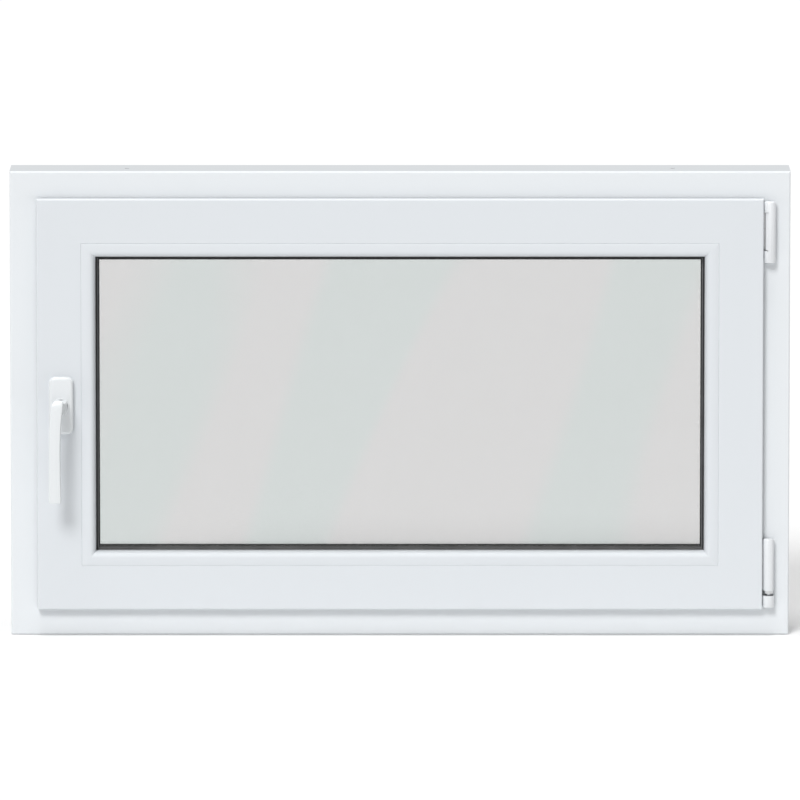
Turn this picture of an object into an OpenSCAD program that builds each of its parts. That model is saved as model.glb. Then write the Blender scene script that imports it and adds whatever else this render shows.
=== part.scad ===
// Single-sash tilt-and-turn window in white PVC, seen and operated from the room side.
// +Z is up, +X is right from the room, -Y points into the room. The origin is the middle
// of the sill's bottom face, at half the frame's depth. All sizes are in millimetres.
//
// Profiles are drawn as [y, u]: y is the depth, u is the distance in from the frame's outer edge.

/* [Window] */
// Overall width of the fixed frame
win_w = 1000; // [800:10:1400]
// Overall height of the fixed frame
win_h = 600; // [520:10:1200]

/* [Frame profile] */
// Depth of the fixed frame
frame_d = 70; // [68:1:90]
// Face width of the frame's room leg
frame_w = 42; // [40:1:52]
// Width of the frame's outer leg, from the outer edge
leg_w = 68; // [66:1:80]
// Wall of the hollow profiles
wall = 3; // [2.5:0.1:3.6]
// Rounding of the frame's outer front edge
edge_r = 2.5; // [1:0.5:3]
// Depth of the glands that hold the seals
gland_d = 2; // [1.5:0.1:2.2]

/* [Sash profile] */
// How far the sash laps over the frame's face
overlap = 7.5; // [6:0.5:9]
// Face width of the sash, without its beads
sash_face_w = 57; // [56:1:75]
// Depth of the sash
sash_d = 66; // [66:1:76]
// How far the sash face stands out from the frame face
sash_proud = 14; // [13:0.5:18]
// Gap between the sash lap and the frame face
seal_gap = 3; // [3:0.1:3.6]
// Gap round the sash, for the fittings
air_gap = 12; // [12:0.5:14]
// Gap behind the sash, for the frame seal
leg_gap = 3.5; // [3:0.1:4]
// Rounding of the sash's front edge
sash_edge_r = 2; // [1:0.5:2.5]

/* [Glazing] */
// Thickness of each pane
pane_t = 4; // [3:0.5:5]
// Gas space between the panes
cavity_t = 16; // [14:1:20]
// Gap between the glass edge and the rebate floor
glass_edge_gap = 5; // [4:0.5:6]
// Width of the glazing beads
bead_w = 18; // [16:1:22]
// Width of the bead's steep inner slope
bead_slope = 8; // [6:1:10]
// Thickness of the seal between bead and glass
inner_seal_t = 4; // [3:0.5:5]
// Thickness of the seal between the outer lip and the glass
outer_seal_t = 3; // [2:0.5:4]
// How far the inner seal shows past the bead
seal_show = 5; // [3:0.5:6]

/* [Reinforcement] */
// Wall of the steel bars
steel_t = 1.5; // [1.2:0.1:2]
// Clearance of the steel in its chamber
steel_gap = 0.3; // [0.2:0.1:0.5]
// Radius of the wall fixing holes
fixing_r = 3.1; // [2.6:0.1:4]
// Distance of the wall fixings from each corner
fixing_in = 150; // [120:5:180]

/* [Hinges] */
// Distance of the turn axis outside the sash edge
pin_out = 8; // [7.9:0.1:8.4]
// Distance of the turn axis in front of the frame face
pin_up = 7.6; // [7.6:0.1:8]
// Radius of the top hinge pin
top_pin_r = 3; // [2.5:0.1:3.2]
// Radius of the bottom bearing pin
low_pin_r = 3.5; // [3:0.1:3.6]
// Radial running clearance of the hinge pins
run_gap = 0.05; // [0.03:0.01:0.08]
// Outer radius of the fixed hinge covers
cover_r = 7.6; // [7.4:0.1:7.6]
// Height of the tilt axis above the sill
tilt_z = 44; // [42:0.5:46]
// Height of the top hinge
top_hinge_h = 79; // [70:1:90]
// Height of the bottom hinge band on the sash
low_band_h = 60; // [50:1:80]
// Reach of the stay arm, from the turn axis to its guide pin
stay_reach = 280; // [240:5:300]

/* [Handle and drive] */
// Length of the lever, from its spindle to its tip
lever_l = 121; // [100:1:130]
// Width of the lever
lever_w = 15; // [13:0.5:18]
// Width of the rosette
rosette_w = 31; // [29:0.5:36]
// Height of the rosette
rosette_h = 74; // [68:1:78]
// Depth of the rosette
rosette_d = 11; // [10:0.5:14]
// Distance of each handle screw from the spindle
screw_pitch = 21.5; // [21:0.5:23]
// Size of the square spindle
spindle_w = 7; // [6:0.5:8]
// Number of teeth on the pinion
pinion_n = 15; // [15:1:17]
// Module of the pinion and rack
gear_m = 1; // [0.9:0.05:1]
// Radius of the locking cams
cam_r = 3.5; // [3:0.1:3.6]

/* [Hidden] */
$fn = 48;

tiny = 0.01;
white = "#e9edf0";
steel = "silver";
black = "#26282a";

// depth planes, from the room (-) to the outside (+)
face_y = -frame_d / 2;
back_y = frame_d / 2;
sash_y0 = face_y - sash_proud;
flange_y = face_y - seal_gap;
sash_y1 = sash_y0 + sash_d;
step_y = sash_y1 + leg_gap;
lip_y = sash_y1 - 17;
glass_y1 = lip_y - outer_seal_t;
glass_y0 = glass_y1 - 2 * pane_t - cavity_t;
bead_y1 = glass_y0 - inner_seal_t;
groove_y = flange_y + 13;

// distances in from the frame's outer edge
sash_u = frame_w - overlap;
body_u = frame_w + air_gap;
rebate_u = sash_u + sash_face_w;
glass_u = rebate_u + glass_edge_gap;
bead_u = rebate_u + bead_w;
lip_u = bead_u + 2;
seal_u = body_u - 13.5;
seal_w = 2.5;

// hardware groove and what runs in it
groove_half = 8;
channel_half = 6;
plate_t = 1.5;
plate_u = body_u + 1.5 + 0.2;
channel_u = body_u + 7;
rod_gap = 0.2;
rod_u = body_u + plate_t + rod_gap;
rod_t = 1.45;
rod_half = 5.5;
slot_half = 3;
post_r = 2.5;
cam_u0 = body_u - 7.5;
cam_u1 = body_u - 4.7;

// drive
pitch_r = gear_m * pinion_n / 2;
rack_u = rod_u + rod_t + 1.1 * gear_m;
spindle_u = rack_u + pitch_r;
stroke = PI * pitch_r;
handle_z = win_h / 2;
spindle_x = -win_w / 2 + spindle_u;
gear_half = 3;

// turn axis and tilt axis
turn_x = win_w / 2 - sash_u + pin_out;
turn_y = face_y - pin_up;
top_z1 = win_h - 38;
top_z0 = top_z1 - top_hinge_h;
knuckle_r = 5.4;
cover_t = 0.7;
band_z0 = top_z0 + 16;
band_z1 = top_z1 - 14;
low_z0 = tilt_z + 14.8;
low_z1 = low_z0 + low_band_h;
plate_x0 = turn_x - 26;
band_t = 2;
arm_u0 = body_u - 6.5;
arm_t = 3;
arm_half = 7;
stay_x = turn_x - stay_reach;
stay_slide = 14;
stay_pin_r = 2.5;

// places of the cams along their members, from the outer corner
cam_left_s = win_h - 85;
cam_top_s = 200;
cam_bottom_s = 170;
corner_leg = 60;
corner_s = body_u + corner_leg;

// ---------- helpers ----------

// A quarter or other arc as points
function arc(cy, cu, r, a0, a1, n = 5) =
    [for (i = [0:n]) let (a = a0 + (a1 - a0) * i / n) [cy + r * cos(a), cu + r * sin(a)]];

// Sweeps a [y, u] profile along +X from 0 to l, with u upwards
module bar(l) { rotate([90, 0, 90]) linear_extrude(height = l) children(); }

// Prism that mitres a member of length l between u = a and u = b
module mitre(l, a, b) {
    translate([0, 200, 0]) rotate([90, 0, 0]) linear_extrude(height = 400)
        polygon([[a, a], [l - a, a], [l - b, b], [b, b]]);
}

module mitred(l, a, b) {
    intersection() {
        bar(l) children();
        mitre(l, a, b);
    }
}

// Member frames: s runs along the member from the outer corner, u points into the window
module at_sill() { translate([-win_w / 2, 0, 0]) children(); }
module at_head() { translate([-win_w / 2, 0, win_h]) mirror([0, 0, 1]) children(); }
module at_left() { translate([-win_w / 2, 0, 0]) mirror([1, 0, -1]) children(); }
module at_right() { mirror([1, 0, 0]) at_left() children(); }

// The same mitred profile on all four sides
module ring(a, b) {
    at_sill() mitred(win_w, a, b) children();
    at_head() mitred(win_w, a, b) children();
    at_left() mitred(win_h, a, b) children();
    at_right() mitred(win_h, a, b) children();
}

// A box from one corner to the other
module span(p, q) { translate(p) cube(q - p); }

// A rod along u in a member frame
module post(s, y, u0, u1, r) { translate([s, y, u0]) cylinder(h = u1 - u0, r = r); }

// A slot along s in a member frame, with round ends
module slot(s0, s1, y, u0, u1, r) {
    post(s0, y, u0, u1, r);
    post(s1, y, u0, u1, r);
    span([s0, y - r, u0], [s1, y + r, u1]);
}

// Moves the Z axis to the turn axis
module at_turn() { translate([turn_x, turn_y, 0]) children(); }

// A rod along Y between two depths
module depth_rod(x, z, y0, y1, r) {
    translate([x, y1, z]) rotate([90, 0, 0]) cylinder(h = y1 - y0, r = r);
}

// ---------- profiles ----------

module frame_outline() {
    polygon(concat(
        arc(face_y + edge_r, edge_r, edge_r, 180, 270),
        [[back_y, 0], [back_y, leg_w - 2], [back_y - 2, leg_w], [step_y + 2, leg_w],
         [step_y, leg_w - 2], [step_y, frame_w], [face_y + 1, frame_w],
         [face_y, frame_w - 1]]));
}

frame_front_y = face_y + wall + 12;
frame_steel_y0 = frame_front_y + 2;
frame_steel_y1 = step_y - 8.5;
frame_seal_u = leg_w - 6.5;
frame_seal_w = 3;

module frame_profile() {
    difference() {
        frame_outline();
        translate([face_y + wall, wall]) square([12, frame_w - 2 * wall]);
        translate([frame_steel_y0, wall])
            square([frame_steel_y1 - frame_steel_y0, frame_w - 2 * wall]);
        translate([frame_steel_y1 + 2, wall])
            square([back_y - wall - frame_steel_y1 - 2, frame_w - 2 * wall]);
        translate([step_y + wall + gland_d, frame_w])
            square([back_y - step_y - 2 * wall - gland_d, leg_w - frame_w - wall]);
        translate([step_y - tiny, frame_seal_u]) square([gland_d + tiny, frame_seal_w]);
    }
}

module frame_seal_profile() {
    tip = step_y - leg_gap + 0.4;
    mid = frame_seal_u + frame_seal_w / 2;
    polygon([[step_y + gland_d, frame_seal_u], [step_y + gland_d, frame_seal_u + frame_seal_w],
             [step_y, frame_seal_u + frame_seal_w], [step_y, mid + 2.6], [tip + 1, mid + 2],
             [tip, mid + 0.8], [tip, mid - 0.8], [tip + 1, mid - 2], [step_y, mid - 2.6],
             [step_y, frame_seal_u]]);
}

sash_steel_y0 = groove_y + 11;
sash_steel_y1 = lip_y + 9;
sash_steel_u0 = body_u + 6;
sash_steel_u1 = rebate_u - wall - 0.5;

module sash_outline() {
    polygon(concat(
        arc(sash_y0 + sash_edge_r, sash_u + sash_edge_r, sash_edge_r, 180, 270),
        [[flange_y, sash_u], [flange_y, seal_u], [flange_y - gland_d, seal_u],
         [flange_y - gland_d, seal_u + seal_w], [flange_y, seal_u + seal_w], [flange_y, body_u],
         [groove_y - groove_half, body_u], [groove_y - groove_half, plate_u],
         [groove_y - channel_half, plate_u], [groove_y - channel_half, channel_u],
         [groove_y + channel_half, channel_u], [groove_y + channel_half, plate_u],
         [groove_y + groove_half, plate_u], [groove_y + groove_half, body_u],
         [groove_y + groove_half + 2, body_u], [sash_y1, body_u + 3], [sash_y1, lip_u - 3],
         [sash_y1 - 5, lip_u], [lip_y, lip_u], [lip_y, rebate_u]],
        clip_slot(),
        [[sash_y0 + 0.5, rebate_u], [sash_y0, rebate_u - 0.5]]));
}

clip_y0 = sash_y0 + 11;
clip_y1 = sash_y0 + 14;
clip_d = 3.4;
clip_gap = 0.2;
function clip_slot() =
    [[clip_y1 + clip_gap, rebate_u], [clip_y1 + clip_gap, rebate_u - clip_d - clip_gap],
     [clip_y0 - clip_gap, rebate_u - clip_d - clip_gap], [clip_y0 - clip_gap, rebate_u]];

module sash_profile() {
    front_u1 = rebate_u - clip_d - clip_gap - wall - 0.8;
    difference() {
        sash_outline();
        // lap, front, groove, steel, outer and lip chambers
        translate([sash_y0 + wall, sash_u + wall])
            square([flange_y - gland_d - wall - sash_y0 - wall, body_u - sash_u - 2 * wall]);
        translate([sash_y0 + wall, body_u + wall])
            square([groove_y - groove_half - wall - sash_y0 - wall, front_u1 - body_u - wall]);
        translate([groove_y - groove_half, channel_u + wall])
            square([2 * groove_half, sash_steel_u1 - channel_u - wall]);
        translate([sash_steel_y0, sash_steel_u0])
            square([sash_steel_y1 - sash_steel_y0, sash_steel_u1 - sash_steel_u0]);
        translate([sash_steel_y1 + 2, sash_steel_u0 + 1])
            square([sash_y1 - wall - sash_steel_y1 - 2, sash_steel_u1 - sash_steel_u0 - 1]);
        translate([lip_y + wall, rebate_u])
            square([sash_y1 - lip_y - 2 * wall, lip_u - rebate_u - 2 * wall]);
    }
}

module sash_seal_profile() {
    tip = flange_y + 2.1;
    polygon([[flange_y - gland_d, seal_u], [flange_y, seal_u], [tip, seal_u + 0.4],
             [tip, seal_u + 1.2], [flange_y, seal_u + seal_w],
             [flange_y - gland_d, seal_u + seal_w]]);
}

bead_foot_y = bead_y1 - 3;
module bead_profile() {
    crest_y = sash_y0 + 0.8;
    slope_u = bead_u - bead_slope;
    difference() {
        union() {
            polygon(concat(
                [[bead_y1, rebate_u], [bead_y1, bead_u]],
                [for (i = [0:8]) let (t = i * 90 / 8)
                    [bead_foot_y - (bead_foot_y - crest_y) * sin(t), slope_u + bead_slope * cos(t)]],
                [[sash_y0 + 0.3, slope_u - 3], [sash_y0, slope_u - 6], [sash_y0, rebate_u + 0.7],
                 [sash_y0 + 0.7, rebate_u]]));
            translate([clip_y0, rebate_u - clip_d])
                square([clip_y1 - clip_y0, clip_d + tiny]);
        }
        translate([sash_y0 + wall, rebate_u + 2.2])
            square([bead_y1 - 2.5 - sash_y0 - wall, slope_u - rebate_u - 2.4]);
    }
}

module inner_seal_profile() {
    show_u = bead_u + seal_show;
    polygon([[bead_y1, bead_u - 6.5], [glass_y0, bead_u - 6.5], [glass_y0, show_u - 0.3],
             [glass_y0 - 1, show_u], [glass_y0 - 1.8, show_u - 0.5], [bead_y1, bead_u + 0.6]]);
}

module outer_seal_profile() {
    polygon([[glass_y1, lip_u - 8], [lip_y, lip_u - 8], [lip_y, lip_u + 0.4],
             [lip_y - 1, lip_u + 1.4], [glass_y1, lip_u + 1.8]]);
}

// ---------- fixed frame ----------

module frame_member(l, fixings) {
    fix_y = (frame_steel_y0 + frame_steel_y1) / 2;
    difference() {
        mitred(l, 0, leg_w) frame_profile();
        for (s = fixings) post(s, fix_y, -1, frame_w + 1, fixing_r);
    }
}

module frame_head() {
    color(white) difference() {
        at_head() frame_member(win_w, [fixing_in, win_w - fixing_in]);
        at_head() striker_holes(cam_top_s);
    }
}
module frame_sill() {
    color(white) difference() {
        at_sill() frame_member(win_w, []);
        at_sill() striker_holes(cam_bottom_s);
        drain_slots();
    }
}
module frame_jamb_left() {
    color(white) difference() {
        at_left() frame_member(win_h, [fixing_in, win_h - fixing_in]);
        at_left() striker_holes(cam_left_s);
    }
}
module frame_jamb_right() {
    color(white) difference() {
        at_right() frame_member(win_h, [fixing_in, win_h - fixing_in]);
        hinge_screw_rods(screw_gap);
    }
}

module frame_steel(l, fixings) {
    y0 = frame_steel_y0 + steel_gap;
    y1 = frame_steel_y1 - steel_gap;
    u0 = wall + steel_gap;
    u1 = frame_w - wall - steel_gap;
    difference() {
        span([frame_w + 6, y0, u0], [l - frame_w - 6, y1, u1]);
        span([frame_w, y0 + steel_t, u0 + steel_t], [l - frame_w, y1 - steel_t, u1 - steel_t]);
        for (s = fixings) post(s, (y0 + y1) / 2, -1, frame_w + 1, fixing_r + 1);
    }
}
module frame_steel_bars() {
    color(steel) {
        at_head() frame_steel(win_w, [fixing_in, win_w - fixing_in]);
        at_sill() frame_steel(win_w, []);
        difference() {
            at_left() frame_steel(win_h, [fixing_in, win_h - fixing_in]);
            at_left() striker_holes(cam_left_s);
        }
        at_right() frame_steel(win_h, [fixing_in, win_h - fixing_in]);
    }
}

module frame_gasket() {
    color(black) ring(frame_seal_u - 2, frame_seal_u + frame_seal_w + 2) frame_seal_profile();
}

// Drain slots through the sill's outer wall, and the hoods that clip into them
drain_x = [-win_w / 2 + 170, win_w / 2 - 170];
module drain_slots() {
    for (x = drain_x)
        span([x - 13, back_y - wall - 1, 14], [x + 13, back_y + 1, 19]);
}
module drain_caps() {
    color(white) for (x = drain_x) difference() {
        union() {
            span([x - 21, back_y, 10], [x + 21, back_y + 3, 23]);
            span([x - 12.8, back_y - wall, 14.2], [x + 12.8, back_y + tiny, 18.8]);
        }
        span([x - 17, back_y - wall - 1, 15.4], [x + 17, back_y + 1.6, 17.6]);
        span([x - 17, back_y + 0.2, 9], [x + 17, back_y + 1.6, 17.6]);
    }
}

// Strikers: a base screwed in the frame's rebate, and a lip that the cam runs behind
striker_t = 2;
striker_half = 24;
lip_reach = 8;
lip_t = 1;
lip_half = 5.5;
screw_gap = 0.05;
striker_screw_s = 17;
striker_screw_r = 1.8;

module striker(s, lips, gap) {
    y_lip = groove_y - cam_r - gap - lip_t;
    difference() {
        span([s - striker_half, groove_y - 9, frame_w],
             [s + striker_half, groove_y + 9, frame_w + striker_t]);
        for (d = [-striker_screw_s, striker_screw_s])
            post(s + d, groove_y, frame_w - 1, frame_w + striker_t + 1, striker_screw_r + screw_gap);
    }
    for (at = lips)
        span([at - lip_half, y_lip, frame_w + striker_t - tiny],
             [at + lip_half, y_lip + lip_t, frame_w + lip_reach]);
}
module striker_holes(s) {
    for (d = [-striker_screw_s, striker_screw_s])
        post(s + d, groove_y, frame_w - 14, frame_w + 1, striker_screw_r + screw_gap);
}
module strikers() {
    color(steel) {
        at_left() striker(cam_left_s, [cam_left_s], 0.5);
        at_head() striker(cam_top_s, [cam_top_s], 0.5);
    }
}
// Its second lip holds the cam while the sash is tilted
module tilt_striker() {
    color(steel) at_sill() striker(cam_bottom_s, [cam_bottom_s, cam_bottom_s + stroke], 2.2);
}
module striker_screw_pair(s) {
    for (d = [-striker_screw_s, striker_screw_s]) {
        post(s + d, groove_y, frame_w - 13, frame_w + striker_t, striker_screw_r);
        difference() {
            post(s + d, groove_y, frame_w + striker_t, frame_w + striker_t + 1, 3.2);
            span([s + d - 2, groove_y - 0.4, frame_w + striker_t + 0.5],
                 [s + d + 2, groove_y + 0.4, frame_w + striker_t + 2]);
        }
    }
}
module striker_screws() {
    color("darkgray") {
        at_left() striker_screw_pair(cam_left_s);
        at_head() striker_screw_pair(cam_top_s);
        at_sill() striker_screw_pair(cam_bottom_s);
    }
}

// ---------- hinges ----------

base_t = 1.8;
base_dy = pin_up - base_t;
base_x1 = 7.2;
base_x0 = 0.8;
screw_dx = 4.2;
hinge_screw_r = 1.6;
top_screw_z = [band_z0 + 7, (band_z0 + band_z1) / 2, band_z1 - 7];

module hinge_screw_rods(extra = 0) {
    for (z = top_screw_z)
        depth_rod(turn_x + screw_dx, z, face_y - base_t, face_y + 16, hinge_screw_r + extra);
}

// Base plate on the frame with a knuckle at each end
module top_hinge_bearing() {
    z0 = top_z0 + 3;
    z1 = top_z1 - 3;
    color(steel) difference() {
        at_turn() {
            span([base_x0, base_dy, band_z0 - 0.5], [base_x1, pin_up, band_z1 + 0.5]);
            for (z = [[z0, band_z0 - 0.5], [band_z1 + 0.5, z1]]) {
                span([-6, base_dy, z[0]], [base_x1, pin_up, z[1]]);
                span([-3, 2, z[0]], [3, pin_up, z[1]]);
                translate([0, 0, z[0]]) cylinder(h = z[1] - z[0], r = knuckle_r);
            }
        }
        at_turn() translate([0, 0, z0 - 1]) cylinder(h = z1 - z0 + 2, r = top_pin_r);
        for (z = top_screw_z) screw_seat(z);
    }
}
module screw_seat(z) {
    depth_rod(turn_x + screw_dx, z, face_y - base_t - 1, face_y + 1, hinge_screw_r);
    depth_rod(turn_x + screw_dx, z, face_y - base_t - 1, face_y - base_t + 0.7, 2.7);
}
module top_hinge_pin() {
    color("gainsboro") at_turn()
        translate([0, 0, top_z0 + 2.5]) cylinder(h = top_hinge_h - 5, r = top_pin_r);
}

// Shell round the turn axis with domed ends, closed against the frame face
module hinge_shell(z0, z1, r, t, closed_low, closed_high) {
    e = 2;
    difference() {
        translate([0, 0, z0]) rotate_extrude() polygon(concat(
            closed_low ? [[0, 0], [r - e, 0], [r - e * 0.3, e * 0.3], [r, e]] : [[0, 0], [r, 0]],
            closed_high ? [[r, z1 - z0 - e], [r - e * 0.3, z1 - z0 - e * 0.3],
                           [r - e, z1 - z0], [0, z1 - z0]] : [[r, z1 - z0], [0, z1 - z0]]));
        translate([0, 0, z0 + (closed_low ? e : -1)])
            cylinder(h = z1 - z0 - (closed_low ? e : -1) - (closed_high ? e : -1), r = r - t);
        span([-20, base_dy - 0.1, z0 - 1], [20, 20, z1 + 1]);
    }
}
// Wedge of angles a0 to a1 round the turn axis
module wedge(a0, a1, z0, z1) {
    n = ceil((a1 - a0) / 40);
    translate([0, 0, z0]) linear_extrude(height = z1 - z0)
        polygon(concat([[0, 0]], [for (i = [0:n]) let (a = a0 + (a1 - a0) * i / n)
            [30 * cos(a), 30 * sin(a)]]));
}
module top_hinge_cover() {
    color(white) at_turn() difference() {
        hinge_shell(top_z0, top_z1, cover_r, cover_t, true, true);
        wedge(122, 253, band_z0 - 0.3, band_z1 + 0.3);
    }
}

// Bearing block on the frame: an open cup carries the ball of the corner pin
ball_r = 4;
cup_r = 5.4;
cup_rim = tilt_z - 0.4;
bearing_z0 = tilt_z - 5.3;
bearing_z1 = tilt_z + 7;
module bottom_bearing_base() {
    color(steel) at_turn() difference() {
        union() {
            span([-6, base_dy, bearing_z0], [base_x1, pin_up, bearing_z1]);
            translate([0, 0, bearing_z0]) cylinder(h = cup_rim - bearing_z0, r = cup_r);
            span([-3, 0, bearing_z0], [3, pin_up, cup_rim]);
        }
        translate([0, 0, tilt_z]) sphere(r = ball_r + run_gap / 2);
    }
}
module bottom_bearing_cover() {
    color(white) at_turn()
        hinge_shell(tilt_z - 7.5, tilt_z + 8.2, cover_r, cover_t, true, false);
}
module hinge_screws() {
    color("darkgray") {
        hinge_screw_rods();
        for (z = top_screw_z) difference() {
            depth_rod(turn_x + screw_dx, z, face_y - base_t, face_y - base_t + 0.7, 2.7);
            span([turn_x + screw_dx - 1.8, face_y - base_t - 1, z - 0.35],
                 [turn_x + screw_dx + 1.8, face_y - base_t + 0.3, z + 0.35]);
        }
    }
}

// Vertical pin on a ball: it carries the sash while the sash turns or tilts
shoulder_z = low_z0 - 0.3;
ball_neck_r = 2.6;
module corner_bearing_pin() {
    color("gainsboro") at_turn() {
        translate([0, 0, tilt_z]) sphere(r = ball_r);
        translate([0, 0, tilt_z]) cylinder(h = shoulder_z - tilt_z, r = ball_neck_r);
        translate([0, 0, shoulder_z - 3.5]) cylinder(h = 3.5, r = 6.2);
        translate([0, 0, shoulder_z - tiny]) cylinder(h = low_z1 - 8 - shoulder_z, r = low_pin_r);
    }
}

// Band on the sash: knuckle, plate behind the lap, and a leg on the sash's edge
module bottom_hinge_band() {
    leg_x0 = win_w / 2 - body_u;
    color(steel) difference() {
        union() {
            at_turn() translate([0, 0, low_z0]) cylinder(h = low_z1 - low_z0, r = knuckle_r);
            span([leg_x0, flange_y, low_z0 + 1], [turn_x, flange_y + band_t, low_z1 - 1]);
            span([leg_x0, flange_y, low_z0 + 1],
                 [leg_x0 + band_t, groove_y + groove_half, low_z1 - 1]);
        }
        at_turn() translate([0, 0, low_z0 - 1])
            cylinder(h = low_z1 - low_z0 - 7 + 1, r = low_pin_r + run_gap);
        for (z = band_screw_z) band_screw_rod(z, hinge_screw_r);
    }
}
band_screw_z = [low_z0 + 12, low_z1 - 12];
module band_screw_rod(z, r, reach = 14) {
    at_right() post(z, groove_y, body_u - 3, body_u + reach, r);
}
module band_screws() {
    color("darkgray") for (z = band_screw_z) {
        at_right() post(z, groove_y, body_u - band_t, body_u + 14, hinge_screw_r);
        at_right() difference() {
            post(z, groove_y, body_u - band_t - 1, body_u - band_t, 2.8);
            span([z - 1.8, groove_y - 0.4, body_u - band_t - 2],
                 [z + 1.8, groove_y + 0.4, body_u - band_t - 0.5]);
        }
    }
}
module bottom_hinge_cover() {
    r = cover_r - 0.7;
    color(white) at_turn() difference() {
        hinge_shell(low_z0 - 0.2, low_z1 + 7, r, r - knuckle_r - 0.1, false, true);
        span([-20, band_plate_dy - 0.3, low_z0 - 1], [0.6, 20, low_z1 + 0.3]);
    }
}
band_plate_dy = flange_y - turn_y;

// ---------- stay ----------

stay_dy0 = band_plate_dy + 0.5;
stay_t = seal_gap - 1;
bush_t = 1;
module top_hinge_bush() {
    color("dimgray") at_turn() difference() {
        translate([0, 0, band_z0]) cylinder(h = band_z1 - band_z0, r = top_pin_r + run_gap + bush_t);
        translate([0, 0, band_z0 - 1])
            cylinder(h = band_z1 - band_z0 + 2, r = top_pin_r + run_gap);
    }
}
// Knuckle on the bush, plate behind the sash lap, and a tab over the arm
module stay_band() {
    x0 = plate_x0 - turn_x;
    tab_z = win_h - arm_u0;
    color(steel) difference() {
        at_turn() {
            translate([0, 0, band_z0 + 0.2]) cylinder(h = band_z1 - band_z0 - 0.4, r = knuckle_r);
            span([x0, stay_dy0, band_z0 + 0.2], [0, stay_dy0 + stay_t, band_z1 - 0.2]);
            span([x0, stay_dy0, band_z1 - 1], [-17.5, stay_dy0 + stay_t, tab_z + 2]);
            span([x0, stay_dy0, tab_z], [-17.5, groove_y + arm_half - turn_y, tab_z + 2]);
            for (x = [-22]) translate([x, groove_y - turn_y, tab_z - arm_t])
                cylinder(h = arm_t + tiny, r = 2.4);
        }
        at_turn() translate([0, 0, band_z0 - 1])
            cylinder(h = band_z1 - band_z0 + 2, r = top_pin_r + 2 * run_gap + bush_t);
    }
}
module stay_band_cover() {
    r = cover_r - cover_t - 0.3;
    color(white) at_turn() difference() {
        intersection() {
            translate([0, 0, band_z0 + 0.5]) cylinder(h = band_z1 - band_z0 - 1, r = r);
            wedge(212, 297, band_z0, band_z1);
        }
        translate([0, 0, band_z0]) cylinder(h = band_z1 - band_z0, r = knuckle_r);
    }
}
// Flat bar over the sash's top edge, with a pin that runs in the sash's guide
module stay_arm() {
    x1 = turn_x - 17.5;
    z1 = win_h - arm_u0;
    color(steel) difference() {
        union() {
            span([stay_x - arm_half, groove_y - arm_half, z1 - arm_t],
                 [x1, groove_y + arm_half, z1]);
            span([plate_x0, stay_dy0 + turn_y, z1 - arm_t], [x1, groove_y, z1]);
            translate([stay_x, groove_y, z1 - arm_t - 13])
                cylinder(h = 13 + tiny, r = stay_pin_r);
        }
        translate([turn_x - 22, groove_y, z1 - arm_t - 1]) cylinder(h = arm_t + 2, r = 2.4);
        span([plate_x0 - 1, stay_dy0 + turn_y - 1, z1 - arm_t - 1],
             [x1 + 1, stay_dy0 + stay_t + turn_y, z1 + 1]);
    }
}

// ---------- sash ----------

module sash_member(l) { mitred(l, sash_u, lip_u) sash_profile(); }

guide_slot_half = 3.7;
module sash_top_rail() {
    color(white) difference() {
        at_head() sash_member(win_w);
        at_head() slot(stay_x + win_w / 2 - 3, stay_x + win_w / 2 + stay_slide + 3, groove_y,
                       body_u, channel_u + 6, guide_slot_half + 1);
    }
}
module sash_bottom_rail() { color(white) at_sill() sash_member(win_w); }
case_half = 28;
case_y0 = groove_y - channel_half;
case_y1 = groove_y + channel_half;
case_u1 = spindle_u + 14;
module sash_stile_left() {
    color(white) difference() {
        at_left() sash_member(win_h);
        at_left() span([handle_z - case_half, case_y0, body_u + 1],
                       [handle_z + case_half, case_y1, case_u1]);
        depth_rod(spindle_x, handle_z, sash_y0 - 1, case_y0 + 1, 7);
        handle_screw_rods(screw_gap);
    }
}
module sash_stile_right() {
    color(white) difference() {
        at_right() sash_member(win_h);
        for (z = band_screw_z) band_screw_rod(z, hinge_screw_r + screw_gap);
    }
}

module sash_steel(l) {
    y0 = sash_steel_y0 + steel_gap;
    y1 = sash_steel_y1 - steel_gap;
    u0 = sash_steel_u0 + steel_gap;
    u1 = sash_steel_u1 - steel_gap;
    difference() {
        span([rebate_u + 5, y0, u0], [l - rebate_u - 5, y1, u1]);
        span([rebate_u, y0 + steel_t, u0 + steel_t], [l - rebate_u, y1 - steel_t, u1 - steel_t]);
    }
}
module sash_steel_bars() {
    color(steel) {
        at_head() sash_steel(win_w);
        at_sill() sash_steel(win_w);
        at_left() sash_steel(win_h);
        at_right() sash_steel(win_h);
    }
}

// The seal stops short of the two hinge bands
module sash_gasket() {
    x0 = win_w / 2 - seal_u - seal_w - 1;
    x1 = win_w / 2 - seal_u + 1;
    color(black) difference() {
        ring(seal_u, seal_u + seal_w) sash_seal_profile();
        for (z = [[low_z0, low_z1], [band_z0 - 1, win_h - arm_u0 + 3]])
            span([x0, flange_y, z[0]], [x1, face_y, z[1]]);
    }
}

// A flat ring between two distances from the frame's edge
module flat_ring(u0, u1, y0, y1) {
    difference() {
        span([u0 - win_w / 2, y0, u0], [win_w / 2 - u0, y1, win_h - u0]);
        span([u1 - win_w / 2, y0 - 1, u1], [win_w / 2 - u1, y1 + 1, win_h - u1]);
    }
}
module pane(y0) {
    span([glass_u - win_w / 2, y0, glass_u],
         [win_w / 2 - glass_u, y0 + pane_t, win_h - glass_u]);
}
module glass_inner_pane() { color("#cfd8d4") pane(glass_y0); }
module glass_outer_pane() { color("#cfd8d4") pane(glass_y1 - pane_t); }
seal_edge = 2.5;
spacer_h = 7;
module glass_spacer() {
    color("darkgray") flat_ring(glass_u + seal_edge, glass_u + seal_edge + spacer_h,
                                glass_y0 + pane_t, glass_y1 - pane_t);
}
module edge_seal() {
    color(black) flat_ring(glass_u, glass_u + seal_edge, glass_y0 + pane_t, glass_y1 - pane_t);
}
block_l = 90;
block_in = 160;
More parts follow.
